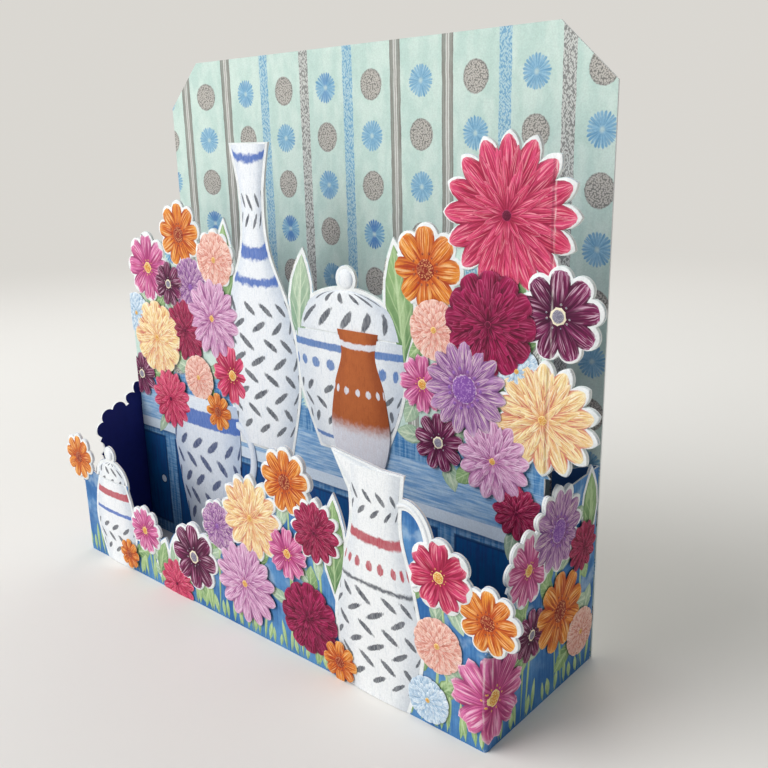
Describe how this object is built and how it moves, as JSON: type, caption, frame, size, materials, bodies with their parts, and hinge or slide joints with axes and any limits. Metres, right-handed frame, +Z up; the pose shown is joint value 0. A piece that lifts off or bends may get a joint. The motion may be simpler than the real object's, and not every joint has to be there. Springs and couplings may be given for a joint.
{
  "type": "greeting card",
  "caption": "Fold-flat standing greeting card: a tall back panel with slanted top corners behind two die-cut floral layers joined by folded side walls.",
  "frame": {"origin": "middle of the middle layer's bottom edge, on the surface that the card stands on", "axes": "+X to the right across the card, +Y from the front panel to the back panel, +Z up"},
  "size_m": [0.1689, 0.045, 0.145],
  "materials": {
    "wallpaper_board": "matt printed board, pale mint with blue and taupe stripes and spots",
    "garden_board": "matt printed and embossed board with white cut edges",
    "border_board": "matt printed and embossed board, blue ground, dark blue inside"
  },
  "bodies": {
    "root": {"back_panel": "wallpaper_board", "middle_layer": "garden_board", "front_layer": "border_board"}
  },
  "joints": []
}
